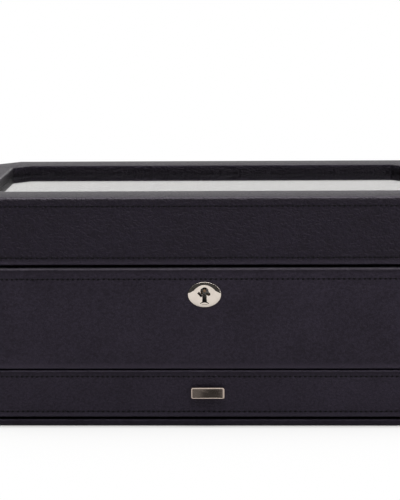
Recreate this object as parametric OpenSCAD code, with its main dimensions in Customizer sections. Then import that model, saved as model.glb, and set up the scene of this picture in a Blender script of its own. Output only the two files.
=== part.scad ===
// Watch box with a glass-topped hinged lid, a lock and a drawer.
// Millimetres. Origin at the centre of the underside, X right, Y to the back, Z up.

/* [Overall] */
// Outside width of the box
box_w = 343; // [320:1:380]
// Outside depth of the box
box_d = 192; // [184:1:210]
// Height with the lid closed
box_h = 150; // [146:1:160]
// Corner cut at 45 degrees, measured along a side
corner_cut = 28; // [26:1:34]

/* [Lid] */
// Height of the lid
lid_h = 43.8; // [40:0.2:50]
// Width of the lid's top rails, all round the glass
rail_w = 28; // [24:1:32]
// Depth of the glass below the rails
glass_recess = 5.8; // [4.5:0.1:7]
// Thickness of the glass
glass_t = 3; // [2:0.5:4]
// Gap between lid and case, filled by the two hinge leaves
part_gap = 2; // [2:0.1:2.4]

/* [Covering] */
// Thickness of the leather cover
cover_t = 1; // [0.8:0.1:1.2]
// Radius of the rolled top edges
roll_r = 2; // [1.5:0.1:2.2]
// Radius of the rail's edge at the window
edge_r = 0.8; // [0.5:0.1:1.4]
// Thickness of the boards in the walls
wall_t = 12; // [11:0.5:13]

/* [Tray] */
// Height of the tray dividers
divider_h = 40; // [34:1:46]
// Thickness of the tray dividers
divider_t = 4; // [3:0.5:5]
// Width of a watch cushion
cushion_w = 47; // [42:1:48]
// Depth of a watch cushion
cushion_d = 66; // [60:1:67]
// Height of a watch cushion
cushion_h = 43; // [38:1:48]

/* [Drawer] */
// Height of the drawer front
drawer_h = 31.4; // [30:0.2:31.6]
// Height of the drawer front above the table
drawer_z = 5.8; // [5.6:0.1:6]
// Width of the case beside the drawer front
drawer_margin = 33.1; // [31:0.1:50]
// How far the drawer pulls out
drawer_travel = 118; // [90:1:125]
// Width of the pull
pull_w = 21.2; // [18:0.2:30]
// Height of the pull
pull_h = 6.9; // [5:0.1:9]
// How far the pull sits to the right of the middle
pull_x = 0.8; // [-3:0.1:3]
// How far the pull sits above the middle of the drawer front
pull_lift = 1; // [-3:0.1:3]

/* [Lock] */
// Width of the oval escutcheon
plate_w = 21.2; // [20:0.2:26]
// Height of the oval escutcheon
plate_h = 16.4; // [15.6:0.2:19]
// Depth of the escutcheon's centre below the top of the case
plate_drop = 17.2; // [16:0.2:20]
// How far the lock sits to the right of the middle
lock_x = -0.9; // [-3:0.1:3]
// How far the bolt slides sideways
bolt_travel = 5; // [4.6:0.1:5.2]

/* [Hinges] */
// Distance of each hinge from the middle
hinge_x = 95; // [70:1:110]
// Length of each hinge
hinge_len = 40; // [30:1:46]
// Depth of the groove at the back in which the knuckles lie
groove_d = 3.5; // [3.4:0.1:4]
// Slope of each side of the groove, the stop for the open lid
groove_a = 48; // [46:0.5:52]

/* [Hidden] */
$fn = 48;
over = 1;                                  // how far a cutter runs past what it cuts
pad_t = 0.6;                               // pad under the base
pad_in = 5;                                // inset of the pad from the outline
base_top = 4.2;                            // top of the base board
base_edge_r = 0.8;
case_top = box_h - lid_h - part_gap;
lid_z = box_h - lid_h;
pivot_z = case_top + part_gap / 2;
pivot_y = box_d / 2 - groove_d;
wall_in = cover_t + wall_t;                // inset of the inner face of the case boards
lid_in = wall_in - 1;                      // inset of the inner face of the lid boards
glass_top = box_h - glass_recess;
glass_z = glass_top - glass_t;
glass_in = lid_in + 1;
bead_t = 3;
bead_w = 12;
lining_t = 0.6;
bottom_r = 1.2;

drawer_half = box_w / 2 - drawer_margin;
front_gap = 0.8;                           // gap beside the drawer front
front_gap_top = 1.1;                       // gap above the drawer front
bay_half = drawer_half + front_gap;        // drawer opening in the case front
bay_top = drawer_z + drawer_h + front_gap_top;
post_x = bay_half + cover_t;
post_y = box_d / 2 - corner_cut;
deck_t = 4;
deck_top = bay_top + deck_t;
floor_t = 1;
floor_z = deck_top + floor_t;
tray_t = 3;
tray_in = wall_in + tray_t;
lip_h = 2.2;                               // how far the tray wall stands up inside the lid
lip_top = lid_z + lip_h;
lip_chamfer = 0.8;
cell_x = (box_w - 2 * tray_in - 4 * divider_t) / 5;
cell_y = (box_d - 2 * tray_in - divider_t) / 2;
pitch_x = cell_x + divider_t;
cushion_corner_r = 16;                     // cushion seen from above
cushion_side_r = 9;                        // cushion seen from the front
cushion_end_r = 17;                        // cushion seen from the side

stitch_w = 0.8;                            // channels in which the stitches lie
stitch_d = 0.25;
lid_row_top = 5.9;                         // rows of stitches: distance from the edge
lid_row_low = 4.7;
case_row = 7.2;
drawer_row_top = 4.2;
drawer_row_low = 3.9;

front_y = -box_d / 2;
drawer_t = 12;
side_t = 6;
side_inset = 4.4;                          // drawer sides from the ends of the front
end_gap = 9;                               // space behind the closed drawer
side_drop = 3.7;                           // drawer sides below the top of the front
drawer_side_x = drawer_half - side_inset;  // outside of the drawer sides
drawer_end = box_d / 2 - wall_in - end_gap;
drawer_top = drawer_z + drawer_h - side_drop;
slide_gap = 0.3;
runner_t = 1.4;
runner_w = 8;
drawer_low = base_top + runner_t + slide_gap;
guide_gap = 0.5;                           // between the drawer sides and the guides
guide_t = 5;
guide_end = box_d / 2 - wall_in - 3;       // half length of the guides, clear of the corner posts
bottom_t = 3;
tail_h = 3;                                // how far the drawer back stands above the sides
stop_t = 4;
stop_half = 30;
stop_y = drawer_end - side_t - drawer_travel - slide_gap;
pull_z = drawer_z + drawer_h / 2 + pull_lift;
pull_out = 4.6;
pull_foot = 1.6;
pull_foot_in = 1.5;                        // foot of the pull inside its outline
pull_bevel = 0.7;
pull_corner_r = 0.9;
pull_lean = 1;                           // how far the top of the face lies behind its foot
pull_screw_x = 6;
pull_screw_deep = 2.8;                     // screws into the pull
screw_r = 1.3;
screw_head_t = 1.4;

plate_z = case_top - plate_drop;
plate_rim = 0.7;                           // thickness at the edge of the escutcheon
plate_crown = 0.6;                         // further thickness of its bevelled middle
plate_bevel = 0.86;                        // share of the outline that the flat middle takes
plate_fn = 120;
key_lift = 2;                              // keyhole's round head above the middle of the escutcheon
key_z = plate_z + key_lift;
key_r = 2.5;
stem_len = 7.4;
stem_top = 1.1;                            // half width of the stem where it leaves the head
stem_low = 1.4;
foot_r = 3.1;                              // arched foot of the keyhole
foot_top = 6.8;
foot_low = 8.6;
bump_r = 1.2;
bump_x = 2.6;
bump_drop = 1.8;
ward_len = 3.4;                            // slanted slot beside the head
ward_w = 1.1;
ward_x = 3.1;
ward_drop = 2.3;
ward_a = 48;
lock_set = 5;                              // lock case behind the front
lock_t = 7;
lock_drop = 12;                            // lower edge of the lock case below the pin
lock_front = front_y + lock_set;
lock_back = lock_front + lock_t;
lock_y = (lock_front + lock_back) / 2;
lock_half = 16;
lock_low = key_z - lock_drop;
lock_skin = 0.8;
lock_top = case_top - cover_t;
pin_r = 1;
pin_out = 3;                               // how far the pin stands out of the lock case
fit = 0.05;                                // radial clearance of a running fit
bit_r = 6;                                 // reach of the key's bit from the pin
bolt_t = 1.8;
bolt_gap = 0.5;                            // between the bolt and the end of the lock case
barrel_gap = 0.5;                          // between the key's barrel and the bolt
bolt_low = key_z + key_r + barrel_gap;
staple_room = 7.2;                         // height in the lock case for staples and fingers
bolt_top = lock_top - staple_room;
arm_w = 2;
finger_h = 2.2;
talon_w = 4.4;                             // notch in which the key's bit pushes the bolt
staple_t = 1.4;
staple_leg = 0.9;
staple_eye = 2.6;
staple_gap = 0.4;                          // between the bolt's bar and the staples
staple_bar = 1.6;
staple_set = 4.1;
eye_play = 0.5;                            // above and below a finger in its staple
staple_low = bolt_top + staple_gap;
staple_x = bolt_travel / 2 + staple_set;   // staples hang on both sides of the lock's middle
eye_top = staple_low + staple_bar + finger_h + 2 * eye_play;
slot_play = 0.5;
slot_play_y = 0.4;
keeper_t = 1;
keeper_half = 14;
keeper_set = 4;
keeper_gap = 0.5;
keeper_y0 = front_y + keeper_set;
keeper_y1 = front_y + lid_in - keeper_gap;
keeper_screw_in = 2.6;
keeper_screw_x = keeper_half - keeper_screw_in;
keeper_screw = 6;

leaf_t = 0.9;
barrel_r = 2;
knuckles = 5;
knuckle_gap = 0.3;
leaf_gap = 0.6;                            // leaves from the inner face of the lid boards
leaf_set = 0.5;                            // leaves from the knuckles
leaf_in = box_d / 2 - lid_in - leaf_gap;
leaf_out = pivot_y - barrel_r - leaf_set;
tab_gap = 0.2;                             // between a knuckle's tab and the pin
knuckle_play = 0.4;
mortise_r = barrel_r + knuckle_play;
hinge_screw_y = (leaf_in + leaf_out) / 2;
hinge_screw_dx = 12;
hinge_head_r = 1.7;
hinge_shank_r = 0.8;
hinge_shank = 7;

// ---------------------------------------------------------------- outline

// Length of the corner cut on an outline inset by t
function cut_at(t) = corner_cut - t * (2 - sqrt(2));

// Distance from the middle to the side whose outward normal points at angle a
function reach(a, t) =
    (a % 180 == 0) ? box_w / 2 - t :
    (a % 90 == 0) ? box_d / 2 - t :
    (box_w / 2 + box_d / 2 - corner_cut) / sqrt(2) - t;

module plan(t) {
    x = box_w / 2 - t;
    y = box_d / 2 - t;
    c = cut_at(t);
    polygon([[x - c, -y], [x, c - y], [x, y - c], [x - c, y],
             [c - x, y], [-x, y - c], [-x, c - y], [c - x, -y]]);
}

module slab(t, z0, z1) {
    translate([0, 0, z0]) linear_extrude(z1 - z0) plan(t);
}

module ring(t0, t1, z0, z1) {
    difference() {
        slab(t0, z0, z1);
        slab(t1, z0 - over, z1 + over);
    }
}

// Box between two corners
module block(x0, y0, z0, x1, y1, z1) {
    translate([x0, y0, z0]) cube([x1 - x0, y1 - y0, z1 - z0]);
}

// Both halves of a block that is mirrored about the middle
module block_pair(x0, y0, z0, x1, y1, z1) {
    block(x0, y0, z0, x1, y1, z1);
    block(-x1, y0, z0, -x0, y1, z1);
}

// Rod along X
module rod_x(x0, x1, y, z, r) {
    translate([x0, y, z]) rotate([0, 90, 0]) cylinder(h = x1 - x0, r = r);
}

// Rod along Y
module rod_y(x, y0, y1, z, r) {
    translate([x, y0, z]) rotate([-90, 0, 0]) cylinder(h = y1 - y0, r = r);
}

// Upright section of a slab with rounded upper and lower edges, half width w
module edge_section(w, z0, z1, r0, r1) {
    translate([-w, z0 + r0]) square([2 * w, z1 - z0 - r0 - r1]);
    translate([r1 - w, z0 + r0]) square([2 * (w - r1), z1 - z0 - r0]);
    translate([r0 - w, z0]) square([2 * (w - r0), r0 + r1]);
    for (s = [-1, 1]) {
        translate([s * (w - r1), z1 - r1]) circle(r1);
        if (r0 > 0) translate([s * (w - r0), z0 + r0]) circle(r0);
    }
}

// Slab of the outline with rounded edges, r0 below and r1 above
module rounded_slab(t, z0, z1, r0, r1) {
    intersection_for (a = [0 : 45 : 135])
        rotate(a) rotate([90, 0, 0]) linear_extrude(2 * box_w, center = true)
            edge_section(reach(a, t), z0, z1, r0, r1);
}

// Slab of the outline with a chamfered top edge
module chamfered_slab(t, z0, z1, c) {
    intersection_for (a = [0 : 45 : 135]) {
        w = reach(a, t);
        rotate(a) rotate([90, 0, 0]) linear_extrude(2 * box_w, center = true)
            polygon([[-w, z0], [w, z0], [w, z1 - c], [w - c, z1], [c - w, z1], [-w, z1 - c]]);
    }
}

// Opening with a flared top edge, which leaves a rolled inner edge on what it cuts
module flared_hole(t, r, z0, z1) {
    intersection_for (a = [0 : 45 : 135])
        rotate(a) rotate([90, 0, 0]) linear_extrude(2 * box_w, center = true) {
            w = reach(a, t);
            translate([-w, z0]) square([2 * w, z1 - z0 + over]);
            difference() {
                translate([-w - r, z1 - r]) square([2 * (w + r), r + over]);
                for (s = [-1, 1]) translate([s * (w + r), z1 - r]) circle(r);
            }
        }
}

// Shallow channel for a row of stitches all round the outline
module stitch_channel(z) {
    ring(-over, stitch_d, z - stitch_w / 2, z + stitch_w / 2);
}

// What the groove at the back takes out of the lid (up = 1) or the case (up = -1), deeper by inset
module groove(up, inset) {
    y0 = pivot_y - inset / sin(groove_a);
    y1 = box_d / 2 + over;
    z1 = (y1 - pivot_y) * tan(groove_a) + inset / cos(groove_a);
    translate([0, 0, pivot_z]) rotate([90, 0, 90])
        linear_extrude(2 * box_w, center = true)
            polygon([[y0, 0], [y1, 0], [y1, up * z1]]);
}

// Room round the hinge knuckles
module knuckle_room() {
    for (s = [-1, 1])
        rod_x(s * hinge_x - hinge_len / 2 - knuckle_play, s * hinge_x + hinge_len / 2 + knuckle_play,
              pivot_y, pivot_z, mortise_r);
}

// ---------------------------------------------------------------- base

module base_pad() {
    color([0.12, 0.12, 0.13]) slab(pad_in, 0, pad_t);
}

module base_board() {
    color([0.55, 0.43, 0.30]) slab(cover_t, pad_t, base_top);
}

module base_cover() {
    color([0.14, 0.13, 0.15]) difference() {
        rounded_slab(0, pad_t, base_top, base_edge_r, base_edge_r);
        slab(cover_t, 0, base_top + over);
    }
}

// ---------------------------------------------------------------- case

// Space of all boards of the case wall, with the drawer opening and the back groove
module case_core() {
    difference() {
        ring(cover_t, wall_in, base_top, case_top - cover_t);
        block(-post_x, front_y - over, 0, post_x, 0, bay_top + cover_t);
        groove(-1, cover_t);
        knuckle_room();
    }
}

// Moves what belongs to the lock to its place along the front
module at_lock() {
    translate([lock_x, 0, 0]) children();
}

// Round head, stem with a foot, a bump on the right and a slanted ward slot on the left
module keyhole_shape() {
    circle(key_r);
    translate([bump_x, -bump_drop]) circle(bump_r);
    translate([-ward_x, -ward_drop]) rotate(-ward_a) square([ward_len, ward_w], center = true);
    polygon([[-stem_top, 0], [stem_top, 0], [stem_low, -stem_len], [-stem_low, -stem_len]]);
    intersection() {
        translate([0, -foot_top - foot_r]) circle(foot_r);
        translate([-foot_r, -foot_low]) square([2 * foot_r, foot_r]);
    }
}

// Keyhole drilled from the front, between two depths
module keyhole(y0, y1) {
    at_lock() translate([0, y1, key_z]) rotate([90, 0, 0]) linear_extrude(y1 - y0) keyhole_shape();
}

module lock_pocket() {
    at_lock() block(-lock_half, lock_front, lock_low, lock_half, lock_back + 2, case_top);
}

// Room for both staples between two heights
module staple_slots(z0, z1) {
    w = staple_t / 2 + slot_play;
    d = staple_eye / 2 + staple_leg + slot_play_y;
    at_lock() for (s = [-1, 1])
        block(s * staple_x - w, lock_y - d, z0, s * staple_x + w, lock_y + d, z1);
}

module case_front() {
    color([0.55, 0.43, 0.30]) difference() {
        intersection() {
            case_core();
            block(-post_x, front_y, bay_top, post_x, 0, case_top);
        }
        lock_pocket();
        keyhole(front_y, lock_front + over);
    }
}

module case_back() {
    color([0.55, 0.43, 0.30]) difference() {
        intersection() {
            case_core();
            block(-post_x, 0, 0, post_x, box_d / 2, case_top);
        }
        hinge_screw_shanks(-1);
    }
}

module case_left() {
    color([0.55, 0.43, 0.30]) intersection() {
        case_core();
        block(-box_w / 2, -post_y, 0, 0, post_y, case_top);
    }
}

module case_right() {
    color([0.55, 0.43, 0.30]) intersection() {
        case_core();
        block(0, -post_y, 0, box_w / 2, post_y, case_top);
    }
}

module corner_posts() {
    color([0.55, 0.43, 0.30]) intersection() {
        case_core();
        union() {
            block_pair(post_x, front_y, 0, box_w / 2, -post_y, case_top);
            block_pair(post_x, post_y, 0, box_w / 2, box_d / 2, case_top);
        }
    }
}

module case_cover() {
    color([0.14, 0.13, 0.15]) difference() {
        rounded_slab(0, base_top, case_top, 0, roll_r);
        slab(wall_in, base_top - over, case_top + over);
        difference() {
            ring(cover_t, wall_in + over, base_top - over, case_top - cover_t);
            block(-post_x, front_y - over, 0, post_x, 0, bay_top + cover_t);
            groove(-1, cover_t);
        }
        block(-bay_half, front_y - over, 0, bay_half, 0, bay_top);
        groove(-1, 0);
        knuckle_room();
        stitch_channel(case_top - case_row);
        keyhole(front_y - over, front_y + cover_t + over);
        staple_slots(case_top - cover_t - over, case_top + over);
        hinge_screw_shanks(-1);
    }
}

module deck_board() {
    color([0.55, 0.43, 0.30]) slab(wall_in, bay_top, deck_top);
}

// ---------------------------------------------------------------- tray

module tray_wall() {
    color([0.20, 0.19, 0.21]) difference() {
        chamfered_slab(wall_in, deck_top, lip_top, lip_chamfer);
        slab(tray_in, deck_top - over, lip_top + over);
    }
}

module tray_floor() {
    color([0.20, 0.19, 0.21]) slab(tray_in, deck_top, floor_z);
}

// Divider across x = 0 or y = 0 with a rounded top, length len
module divider(len) {
    r = divider_t / 2;
    translate([-len / 2, -r, floor_z]) cube([len, divider_t, divider_h - r]);
    rod_x(-len / 2, len / 2, 0, floor_z + divider_h - r, r);
}

module divider_long() {
    color([0.20, 0.19, 0.21]) difference() {
        divider(box_w - 2 * tray_in);
        for (i = [-1.5 : 1 : 1.5])
            block(i * pitch_x - divider_t / 2, -divider_t, floor_z + divider_h / 2,
                  i * pitch_x + divider_t / 2, divider_t, floor_z + divider_h + over);
    }
}

module dividers_cross() {
    color([0.20, 0.19, 0.21]) for (i = [-1.5 : 1 : 1.5])
        difference() {
            translate([i * pitch_x, 0, 0]) rotate(90) divider(box_d - 2 * tray_in);
            block(i * pitch_x - divider_t, -divider_t / 2, floor_z - over,
                  i * pitch_x + divider_t, divider_t / 2, floor_z + divider_h / 2);
        }
}

module rounded(w, h, r) {
    square([w - 2 * r, h], center = true);
    square([w, h - 2 * r], center = true);
    for (x = [-1, 1], y = [-1, 1])
        translate([x * (w / 2 - r), y * (h / 2 - r)]) circle(r);
}

module cushion() {
    intersection() {
        linear_extrude(cushion_h) rounded(cushion_w, cushion_d, cushion_corner_r);
        translate([0, cushion_d / 2, cushion_h / 2]) rotate([90, 0, 0])
            linear_extrude(cushion_d) rounded(cushion_w, cushion_h, cushion_side_r);
        translate([-cushion_w / 2, 0, cushion_h / 2]) rotate([90, 0, 90])
            linear_extrude(cushion_w) rounded(cushion_d, cushion_h, cushion_end_r);
    }
}

module cushion_row(y) {
    color([0.26, 0.25, 0.27]) for (i = [-2 : 2])
        translate([i * pitch_x, y, floor_z]) cushion();
}

module cushions_front() {
    cushion_row(-(cell_y + divider_t) / 2);
}

module cushions_back() {
    cushion_row((cell_y + divider_t) / 2);
}

// ---------------------------------------------------------------- lock

// Oval of the escutcheon, standing out of the front between two depths
module plate_step(out0, out1, share0, share1) {
    translate([lock_x, front_y - out0, plate_z]) rotate([90, 0, 0]) scale([plate_w / plate_h, 1, 1])
        cylinder(h = out1 - out0, r1 = share0 * plate_h / 2, r2 = share1 * plate_h / 2, $fn = plate_fn);
}

module escutcheon() {
    color([0.80, 0.78, 0.75]) difference() {
        union() {
            plate_step(0, plate_rim, 1, 1);
            plate_step(plate_rim, plate_rim + plate_crown, 1, plate_bevel);
        }
        keyhole(front_y - plate_rim - plate_crown - over, front_y + over);
    }
}

module lock_case() {
    s = lock_skin;
    color([0.72, 0.72, 0.72]) difference() {
        at_lock() difference() {
            block(-lock_half, lock_front, lock_low, lock_half, lock_back, lock_top);
            block(-lock_half + s, lock_front + s, lock_low + s, lock_half - s, lock_back - s, lock_top - s);
        }
        staple_slots(lock_top - 2 * s, lock_top + over);
        keyhole(lock_front - over, lock_front + s + over);
    }
}

// Pin on which a hollow key turns
module lock_pin() {
    color([0.45, 0.38, 0.30]) rod_y(lock_x, lock_front - pin_out, lock_back - lock_skin, key_z, pin_r);
}

// Bolt that slides sideways; its two fingers pass through the staples of the lid
module lock_bolt() {
    x0 = lock_skin + bolt_gap - lock_half;
    reach = staple_x - staple_t / 2 - bolt_gap;
    y0 = lock_y - bolt_t / 2;
    y1 = lock_y + bolt_t / 2;
    z_finger = eye_top - finger_h - eye_play;
    color([0.72, 0.72, 0.72]) at_lock() difference() {
        union() {
            block(x0, y0, bolt_low, reach, y1, bolt_top);
            for (x = [-reach - 2 * bolt_gap - staple_t, reach]) {
                block(x - bolt_travel - arm_w, y0, bolt_low, x - bolt_travel, y1, z_finger + finger_h);
                block(x - bolt_travel - arm_w, y0, z_finger, x, y1, z_finger + finger_h);
            }
        }
        block(-(bolt_travel + talon_w) / 2, y0 - over, bolt_low - over,
              (talon_w - bolt_travel) / 2, y1 + over, key_z + bit_r);
    }
}

module keeper_screws_shape() {
    at_lock() for (s = [-1, 1])
        translate([s * keeper_screw_x, lock_y, lid_z]) cylinder(h = keeper_screw, r = hinge_shank_r);
}

// Plate under the lid with two staples that hang into the lock
module keeper_plate() {
    d = staple_eye / 2;
    color([0.72, 0.72, 0.72]) difference() {
        at_lock() union() {
            block(-keeper_half, keeper_y0, lid_z, keeper_half, keeper_y1, lid_z + keeper_t);
            for (s = [-1, 1]) translate([s * staple_x - staple_t / 2, lock_y, 0]) difference() {
                block(0, -d - staple_leg, staple_low, staple_t, d + staple_leg, lid_z + keeper_t / 2);
                block(-over, -d, staple_low + staple_bar, staple_t + over, d, eye_top);
            }
        }
        keeper_screws_shape();
    }
}

module keeper_screws() {
    color([0.72, 0.72, 0.72]) keeper_screws_shape();
}

// ---------------------------------------------------------------- hinges

module hinge_screw_shanks(up) {
    for (s = [-1, 1], d = [-1, 1])
        translate([s * hinge_x + d * hinge_screw_dx, hinge_screw_y, pivot_z])
            rotate([up > 0 ? 0 : 180, 0, 0]) cylinder(h = hinge_shank + leaf_t, r = hinge_shank_r);
}

module hinge_screw_heads(up) {
    for (s = [-1, 1], d = [-1, 1])
        translate([s * hinge_x + d * hinge_screw_dx, hinge_screw_y, pivot_z])
            rotate([up > 0 ? 0 : 180, 0, 0])
                translate([0, 0, part_gap / 2 - leaf_t]) cylinder(h = leaf_t / 2, r = hinge_head_r);
}

// Knuckle number i of one hinge, with its tab to the leaf
module knuckle(i, up) {
    step = hinge_len / knuckles;
    x0 = -hinge_len / 2 + i * step + (i > 0 ? knuckle_gap / 2 : 0);
    x1 = -hinge_len / 2 + (i + 1) * step - (i < knuckles - 1 ? knuckle_gap / 2 : 0);
    far = pivot_z + up * part_gap / 2;
    near = far - up * leaf_t;
    rod_x(x0, x1, pivot_y, pivot_z, barrel_r);
    block(x0, leaf_out - over, min(near, far), x1, pivot_y - pin_r - tab_gap, max(near, far));
}

// Leaves on one side of both hinges; up is 1 for the lid, -1 for the case
module hinge_leaves(up, bore) {
    far = pivot_z + up * part_gap / 2;
    near = far - up * leaf_t;
    difference() {
        for (s = [-1, 1]) translate([s * hinge_x, 0, 0]) {
            block(-hinge_len / 2, leaf_in, min(near, far), hinge_len / 2, leaf_out, max(near, far));
            for (i = [up > 0 ? 1 : 0 : 2 : knuckles - 1]) knuckle(i, up);
        }
        rod_x(-box_w / 2, box_w / 2, pivot_y, pivot_z, bore);
        hinge_screw_heads(up);
        hinge_screw_shanks(up);
    }
}

module hinge_leaves_case() {
    color([0.72, 0.70, 0.64]) hinge_leaves(-1, pin_r);
}

module hinge_leaves_lid() {
    color([0.72, 0.70, 0.64]) hinge_leaves(1, pin_r + fit);
}

module hinge_pins() {
    color([0.72, 0.70, 0.64]) for (s = [-1, 1])
        rod_x(s * hinge_x - hinge_len / 2, s * hinge_x + hinge_len / 2, pivot_y, pivot_z, pin_r);
}

module hinge_screws(up) {
    intersection() {
        union() {
            hinge_screw_heads(up);
            hinge_screw_shanks(up);
        }
        block(-box_w, 0, up > 0 ? pivot_z + part_gap / 2 - leaf_t : 0, box_w, box_d,
              up > 0 ? box_h : pivot_z - part_gap / 2 + leaf_t);
    }
}

module hinge_screws_case() {
    color([0.72, 0.70, 0.64]) hinge_screws(-1);
}

module hinge_screws_lid() {
    color([0.72, 0.70, 0.64]) hinge_screws(1);
}

// ---------------------------------------------------------------- lid

// Space of all boards of the lid wall
module lid_core() {
    difference() {
        ring(cover_t, lid_in, lid_z + cover_t, glass_top);
        groove(1, cover_t);
        knuckle_room();
    }
}

module lid_front() {
    color([0.55, 0.43, 0.30]) difference() {
        intersection() {
            lid_core();
            block(-post_x, front_y, lid_z, post_x, 0, box_h);
        }
        keeper_screws_shape();
    }
}

module lid_back() {
    color([0.55, 0.43, 0.30]) difference() {
        intersection() {
            lid_core();
            block(-post_x, 0, lid_z, post_x, box_d / 2, box_h);
        }
        hinge_screw_shanks(1);
    }
}

module lid_left() {
    color([0.55, 0.43, 0.30]) intersection() {
        lid_core();
        block(-box_w / 2, -post_y, lid_z, 0, post_y, box_h);
    }
}

module lid_right() {
    color([0.55, 0.43, 0.30]) intersection() {
        lid_core();
        block(0, -post_y, lid_z, box_w / 2, post_y, box_h);
    }
}

module lid_corners() {
    color([0.55, 0.43, 0.30]) intersection() {
        lid_core();
        union() {
            block_pair(post_x, front_y, lid_z, box_w / 2, -post_y, box_h);
            block_pair(post_x, post_y, lid_z, box_w / 2, box_d / 2, box_h);
        }
    }
}

module lid_frame() {
    color([0.55, 0.43, 0.30]) ring(cover_t, rail_w - cover_t, glass_top, box_h - cover_t);
}

module lid_cover() {
    color([0.14, 0.13, 0.15]) difference() {
        rounded_slab(0, lid_z, box_h, bottom_r, roll_r);
        flared_hole(rail_w, edge_r, glass_top - over, box_h);
        difference() {
            ring(cover_t, rail_w - cover_t, lid_z + cover_t, box_h - cover_t);
            groove(1, cover_t);
        }
        slab(lid_in, lid_z - over, glass_top);
        groove(1, 0);
        knuckle_room();
        stitch_channel(box_h - lid_row_top);
        stitch_channel(lid_z + lid_row_low);
        at_lock() block(-keeper_half, keeper_y0, lid_z - over, keeper_half, front_y + lid_in, lid_z + keeper_t);
        hinge_screw_shanks(1);
    }
}

module glass() {
    color([0.80, 0.85, 0.85, 0.3]) slab(glass_in, glass_z, glass_top);
}

module glass_bead() {
    color([0.20, 0.19, 0.21]) ring(lid_in, lid_in + bead_w, glass_z - bead_t, glass_z);
}

module lid_lining() {
    color([0.20, 0.19, 0.21]) ring(lid_in, lid_in + lining_t, lid_z, glass_z - bead_t);
}

// ---------------------------------------------------------------- drawer

module drawer_front() {
    color([0.55, 0.43, 0.30]) difference() {
        block(-drawer_half + cover_t, front_y + cover_t, drawer_z + cover_t,
              drawer_half - cover_t, front_y + drawer_t, drawer_z + drawer_h - cover_t);
        pull_screws_shape();
    }
}

module drawer_cover() {
    r = bottom_r;
    w = drawer_half;
    color([0.14, 0.13, 0.15]) difference() {
        intersection() {
            translate([0, front_y + drawer_t, drawer_z + drawer_h / 2]) rotate([90, 0, 0])
                linear_extrude(drawer_t) rounded(2 * w, drawer_h, r);
            translate([-w, front_y + drawer_t, drawer_z + drawer_h / 2]) rotate([90, 0, 90])
                linear_extrude(2 * w) rounded(2 * drawer_t, drawer_h, r);
            translate([0, front_y + drawer_t, drawer_z])
                linear_extrude(drawer_h) rounded(2 * w, 2 * drawer_t, r);
        }
        block(-w + cover_t, front_y + cover_t, drawer_z + cover_t,
              w - cover_t, front_y + drawer_t + over, drawer_z + drawer_h - cover_t);
        for (z = [drawer_z + drawer_row_low, drawer_z + drawer_h - drawer_row_top])
            block(-w - over, front_y - over, z - stitch_w / 2, w + over, front_y + stitch_d, z + stitch_w / 2);
        pull_screws_shape();
    }
}

module drawer_sides() {
    color([0.24, 0.22, 0.23])
        block_pair(drawer_side_x - side_t, front_y + drawer_t, drawer_low,
                   drawer_side_x, drawer_end - side_t, drawer_top);
}

module drawer_back() {
    color([0.24, 0.22, 0.23])
        block(-drawer_side_x, drawer_end - side_t, drawer_low, drawer_side_x, drawer_end, drawer_top + tail_h);
}

module drawer_bottom() {
    x = drawer_side_x - side_t;
    color([0.55, 0.43, 0.30])
        block(-x, front_y + drawer_t, drawer_low, x, drawer_end - side_t, drawer_low + bottom_t);
}

module drawer_lining() {
    x = drawer_side_x - side_t;
    z = drawer_low + bottom_t;
    color([0.20, 0.19, 0.21])
        block(-x, front_y + drawer_t, z, x, drawer_end - side_t, z + floor_t);
}

// Bevelled block on a smaller foot, its face leaning back a little
module drawer_pull() {
    w = pull_w / 2;
    h = pull_h / 2;
    b = pull_bevel;
    top = pull_lean - pull_out;
    foot = pull_foot_in;
    color([0.62, 0.58, 0.54]) difference() {
        translate([pull_x, front_y, pull_z]) union() {
            intersection() {
                translate([0, -pull_foot, 0]) rotate([90, 0, 0])
                    linear_extrude(pull_out - pull_foot) rounded(pull_w, pull_h, pull_corner_r);
                translate([-w, 0, 0]) rotate([90, 0, 90]) linear_extrude(pull_w)
                    polygon([[-pull_foot, -h], [b - pull_out, -h], [-pull_out, b - h],
                             [top, h - b], [top + b, h], [-pull_foot, h]]);
                translate([0, 0, -h]) linear_extrude(pull_h)
                    polygon([[-w, -pull_foot], [-w, b - pull_out], [b - w, -pull_out],
                             [w - b, -pull_out], [w, b - pull_out], [w, -pull_foot]]);
            }
            block(foot - w, -pull_foot - over, foot - h, w - foot, 0, h - foot);
        }
        pull_screws_shape();
    }
}

module pull_screws_shape() {
    back = front_y + drawer_t;
    for (s = [-1, 1]) {
        rod_y(pull_x + s * pull_screw_x, front_y - pull_screw_deep, back, pull_z, screw_r);
        rod_y(pull_x + s * pull_screw_x, back - screw_head_t, back, pull_z, 2 * screw_r);
    }
}

module pull_screws() {
    color([0.72, 0.72, 0.72]) pull_screws_shape();
}

module drawer_guides() {
    x = drawer_side_x + guide_gap;
    color([0.55, 0.43, 0.30]) block_pair(x, -guide_end, base_top, x + guide_t, guide_end, bay_top);
}

module drawer_runners() {
    color([0.30, 0.30, 0.31])
        block_pair(drawer_side_x - runner_w, front_y + drawer_t + slide_gap, base_top,
                   drawer_side_x, drawer_end, base_top + runner_t);
}

module drawer_stop() {
    color([0.55, 0.43, 0.30])
        block(-stop_half, stop_y - stop_t, drawer_top + front_gap_top, stop_half, stop_y, bay_top);
}

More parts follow.
